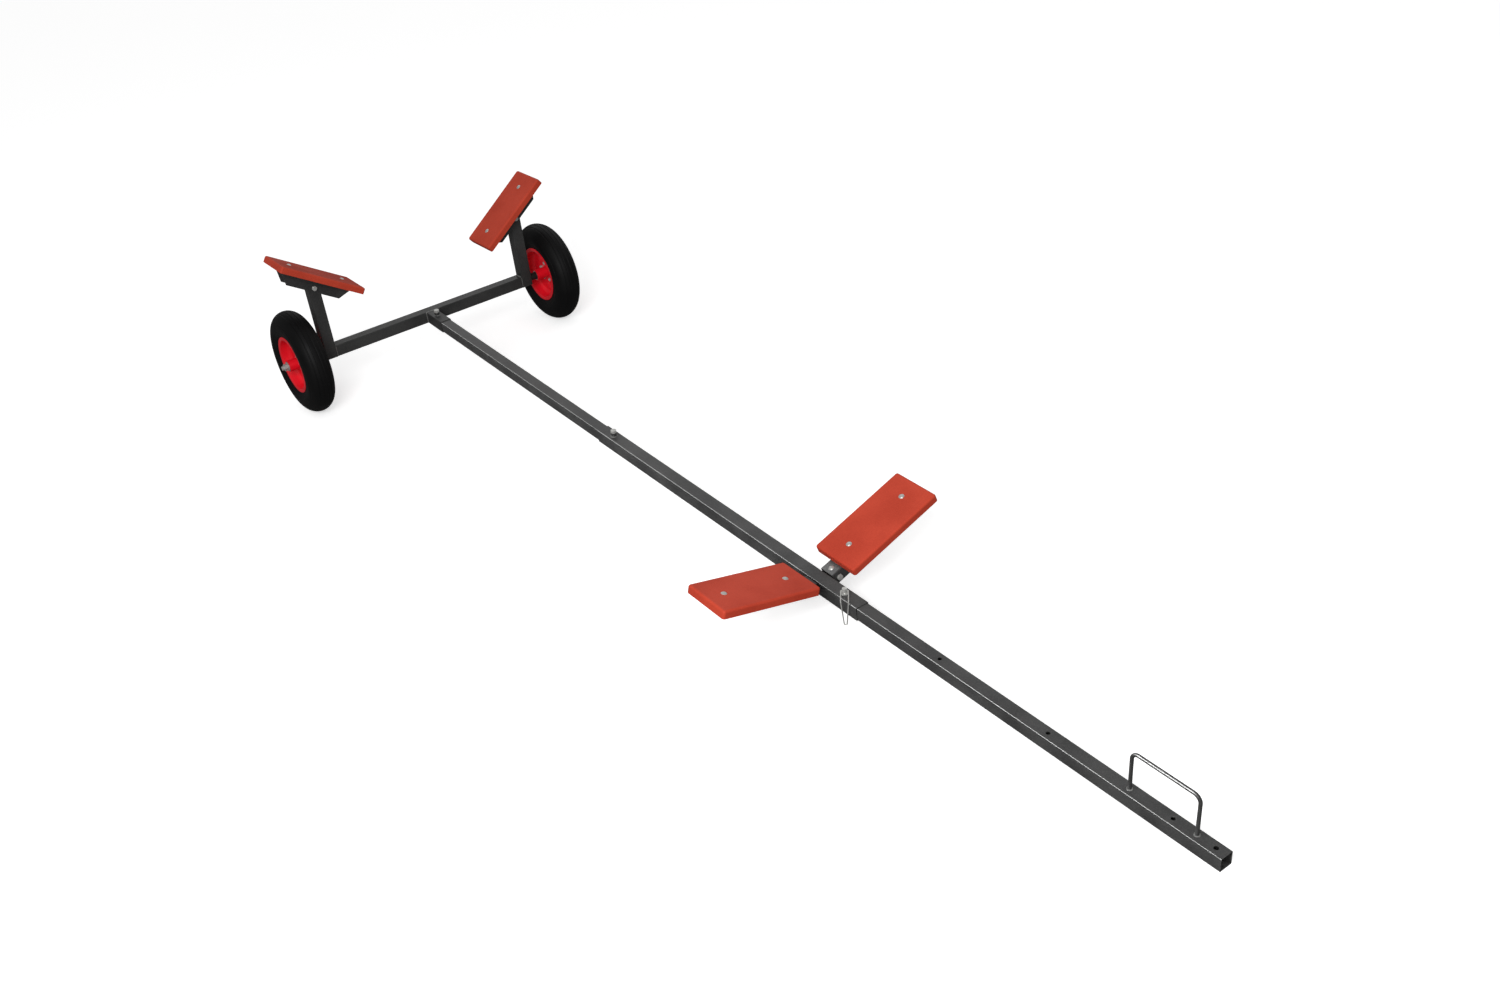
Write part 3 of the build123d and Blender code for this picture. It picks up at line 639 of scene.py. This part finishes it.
# ---- Zinc fasteners -------------------------------------------------------------------------
# Zinc-plated hex bolts, nuts and washers. Heads and nuts have the turned chamfer that leaves a
# round face, and the threads end in a chamfer.
zinc = finish_material(
    "bright_zinc_plate",
    body=(0.56, 0.56, 0.54), patch=(0.38, 0.38, 0.36), worn_and_sheen=(0.80, 0.80, 0.79),
    rough=(0.30, 0.44), relief=0.00012, patch_size=0.008, grain_size=0.0012, wear_and_sheen=(0.0006, 0.5),
    plain={"Metallic": 0.45},
)
coat(
    ["axle_stubs", "axle_washers", "lock_pin", "lock_bail"]
    + [f"board_bolts_{place}" for place in places] + [f"board_nuts_{place}" for place in places],
    zinc,
)
hex_segments = 36
chamfer_fall = 0.577


def hex_prism(mesh, seat, direction, flats, height, both_ends=False):
    """Hex head or nut standing on its seat, chamfered on its outer face."""
    made = bmesh.ops.create_cone(
        mesh, cap_ends=True, segments=hex_segments, radius1=1, radius2=1, depth=height
    )["verts"]
    faces = {face for vert in made for face in vert.link_faces}
    caps = [face for face in faces if len(face.verts) > 4]
    for vert in made:
        turn = atan2(vert.co.y, vert.co.x)
        reach = flats / 2 / cos((turn % (tau / 6)) - tau / 12)
        vert.co = Vector((cos(turn) * reach, sin(turn) * reach, vert.co.z + height / 2))
    chamfered = [cap for cap in caps if both_ends or cap.calc_center_median().z > height / 2]
    every = set(made)
    round_radius = flats / 2 * 0.95
    for cap in chamfered:
        rim_verts = list(cap.verts)
        end = 1 if cap.calc_center_median().z > height / 2 else -1
        bmesh.ops.inset_individual(mesh, faces=[cap], thickness=flats * 0.02)
        for vert in cap.verts:
            turn = atan2(vert.co.y, vert.co.x)
            vert.co.x, vert.co.y = cos(turn) * round_radius, sin(turn) * round_radius
            every.add(vert)
        for vert in rim_verts:
            if vert not in cap.verts:
                vert.co.z -= end * (hypot(vert.co.x, vert.co.y) - round_radius) * chamfer_fall
    placing = Matrix.Translation(seat) @ turned_to(direction)
    bmesh.ops.transform(mesh, matrix=placing, verts=list(every))


def thread_end(mesh, start, direction, radius, length, pitch):
    """Threaded bolt end, with a groove every pitch and a chamfered tip."""
    outline = [(-0.004, 0), (-0.004, radius)]
    turns = int((length - pitch) / pitch)
    for groove in range(turns):
        outline += [
            (groove * pitch + pitch * 0.25, radius),
            (groove * pitch + pitch * 0.75, radius - pitch * 0.45),
        ]
    outline += [(length - pitch * 0.7, radius), (length, radius - pitch * 0.7), (length, 0)]
    turned(mesh, outline, start, direction, 32)


def fastener(name, heads, nuts, ends, body, replaced):
    """Group of heads, nuts and threaded ends as one zinc piece."""
    mesh = bmesh.new()
    for seat, direction, flats, height in heads:
        hex_prism(mesh, seat, direction, flats, height)
    for seat, direction, flats, height in nuts:
        hex_prism(mesh, seat, direction, flats, height, both_ends=True)
    for start, direction, radius, length, pitch in ends:
        thread_end(mesh, start, direction, radius, length, pitch)
    piece = new_piece(name, mesh, zinc, body, 25)
    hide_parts(*replaced)


screw_flats, screw_head, screw_nut, bare_thread = 0.019, 0.0075, 0.010, 0.004
screw_radius, screw_pitch, screw_length = 0.006, 0.00175, 0.016
screw_stations = (0.071, 1.350)
screws = bmesh.new()
nut_welds = bmesh.new()
welded_nuts = bmesh.new()
for station in screw_stations:
    top = on_bar(station, half_tube)
    hex_prism(welded_nuts, top, upward, screw_flats, screw_nut, both_ends=True)
    weld_ring(nut_welds, top, upward, screw_flats / 2 + 0.0012, 0.002)
    under_head = top + upward * (screw_nut + bare_thread)
    hex_prism(screws, under_head, upward, screw_flats, screw_head)
    thread_end(screws, under_head, -upward, screw_radius, screw_length, screw_pitch)
clamp_screws = new_piece("clamp_screw_heads", screws, zinc, "frame", 25)
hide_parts("clamp_screws")
clamp_nuts = new_piece("welded_clamp_nuts", welded_nuts, charcoal, "frame", 25)
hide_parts("clamp_nuts")
new_piece("clamp_nut_welds", nut_welds, weld_steel, "frame", 60)
joints = {joint["name"]: joint for joint in frame["joints"]}
bolt_seat = 0.0272
m10_flats, m10_head, m10_nut, m10_radius, m10_pitch = 0.017, 0.0064, 0.008, 0.005, 0.0015
spare = 0.002
for end in ("rear", "front"):
    forward = Vector((0, -1, 0)) if end == "rear" else along
    pivots = [Vector(joints[f"{end}_{hand}_tilt"]["pos_m"]) for hand, _ in wheel_sides]
    shank = 2 * bolt_seat + m10_nut + spare
    fastener(
        f"{end}_pivot_hex_bolts",
        [(pivot + forward * bolt_seat, forward, m10_flats, m10_head) for pivot in pivots],
        [],
        [(pivot + forward * bolt_seat, -forward, m10_radius, shank, m10_pitch) for pivot in pivots],
        "frame", [f"{end}_pivot_bolts"],
    )
    fastener(
        f"{end}_pivot_hex_nuts",
        [],
        [(pivot - forward * bolt_seat, -forward, m10_flats, m10_nut) for pivot in pivots],
        [],
        "frame", [f"{end}_pivot_nuts"],
    )
washer_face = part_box("axle_washers")[1].x
nut_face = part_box("axle_nuts")[1].x
nut_flats, thread_radius, thread_pitch = 0.024, 0.0083, 0.0016
thread_length = cad_box[1][0] - nut_face - 0.0004
fastener(
    "axle_hex_nuts",
    [],
    [
        (axle + across * side * washer_face, across * side, nut_flats, nut_face - washer_face)
        for _, side in wheel_sides
    ],
    [
        (axle + across * side * nut_face, across * side, thread_radius, thread_length, thread_pitch)
        for _, side in wheel_sides
    ],
    "frame", ["axle_nuts"],
)
m8_flats, m8_head, m8_nut, m8_radius, m8_pitch = 0.013, 0.0053, 0.0065, 0.004, 0.00125
bolt_circle, bolt_count = 0.037, 5
for hand, side in wheel_sides:
    turns = [tau * turn / bolt_count for turn in range(bolt_count)]
    spots = [
        wheel_spots[hand] + Vector((0, sin(turn), cos(turn))) * bolt_circle for turn in turns
    ]
    outward = across * side
    grip = outward * disc_skins[0]
    fastener(
        f"rim_hex_bolts_{hand}",
        [(spot + grip, outward, m8_flats, m8_head) for spot in spots],
        [],
        [(spot - grip - outward * m8_nut, -outward, m8_radius, spare, m8_pitch) for spot in spots],
        f"{hand}_wheel", [f"rim_bolts_{hand}"],
    )
    fastener(
        f"rim_hex_nuts_{hand}",
        [],
        [(spot - grip, -outward, m8_flats, m8_nut) for spot in spots],
        [],
        f"{hand}_wheel", [f"rim_nuts_{hand}"],
    )

# ---- Tyre valves ----------------------------------------------------------------------------
# A rubber stem through the rim, with a knurled cap on its end.
valve_offset = 0.022
for hand, side in wheel_sides:
    stem_low, stem_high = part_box(f"valve_stem_{hand}")
    root = Vector((wheel_spots[hand].x + side * valve_offset, axle.y, stem_high.z))
    valve = bmesh.new()
    stem_length = stem_high.z - stem_low.z
    outline = [
        (0, 0), (0, 0.004), (0.010, 0.004), (0.012, 0.0036),
        (stem_length - 0.011, 0.0033), (stem_length - 0.0105, 0.004),
        (stem_length - 0.008, 0.004), (stem_length - 0.0075, 0.0037),
        (stem_length - 0.001, 0.0037), (stem_length, 0.003), (stem_length, 0),
    ]
    turned(valve, outline, root, Vector((0, 0, -1)), 32)
    stem = new_piece(f"valve_and_cap_{hand}", valve, seal_rubber, f"{hand}_wheel", 40)
    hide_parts(f"valve_stem_{hand}")

# ---- Boards ---------------------------------------------------------------------------------
# Softwood boards with rounded edges, under a thick coat of brick-red paint. The grain runs the
# length of each board and shows faintly through the paint, and the corners are rubbed.
grain_stretch, grain_scale, grain_depth = 0.06, 260, 0.0005


def board_paint(place, tilt):
    """Painted timber whose grain follows one board."""
    material = finish_material(
        f"painted_board_{place}",
        body=(0.56, 0.062, 0.030), patch=(0.39, 0.036, 0.017), worn_and_sheen=(0.62, 0.09, 0.05),
        rough=(0.56, 0.68), relief=0.0003, patch_size=0.16, grain_size=0.0016, wear_and_sheen=(0.003, 0.25),
        plain={"Specular IOR Level": 0.15},
    )
    tree = material.node_tree
    turn = tree.nodes.new("ShaderNodeMapping")
    turn.inputs["Rotation"].default_value = (0, tilt, 0)
    turn.inputs["Scale"].default_value = (grain_stretch, 1, 1)
    tree.links.new(tree.nodes["Texture Coordinate"].outputs["Object"], turn.inputs["Vector"])
    streaks = noise_node(tree, turn.outputs["Vector"], grain_scale, 3)
    first_bump = tree.nodes["Bump"]
    grain = tree.nodes.new("ShaderNodeBump")
    grain.inputs["Distance"].default_value = grain_depth
    grain.inputs["Strength"].default_value = 0.5
    tree.links.new(streaks, grain.inputs["Height"])
    tree.links.new(grain.outputs["Normal"], first_bump.inputs["Normal"])
    return material


for place in places:
    end, hand = place.split("_")
    joint = joints[f"{place}_tilt"]
    steepest = 60 if end == "rear" else 40
    lean = radians(steepest - joint["range_deg"][1])
    coat([f"board_{place}"], board_paint(place, lean if hand == "right" else -lean))
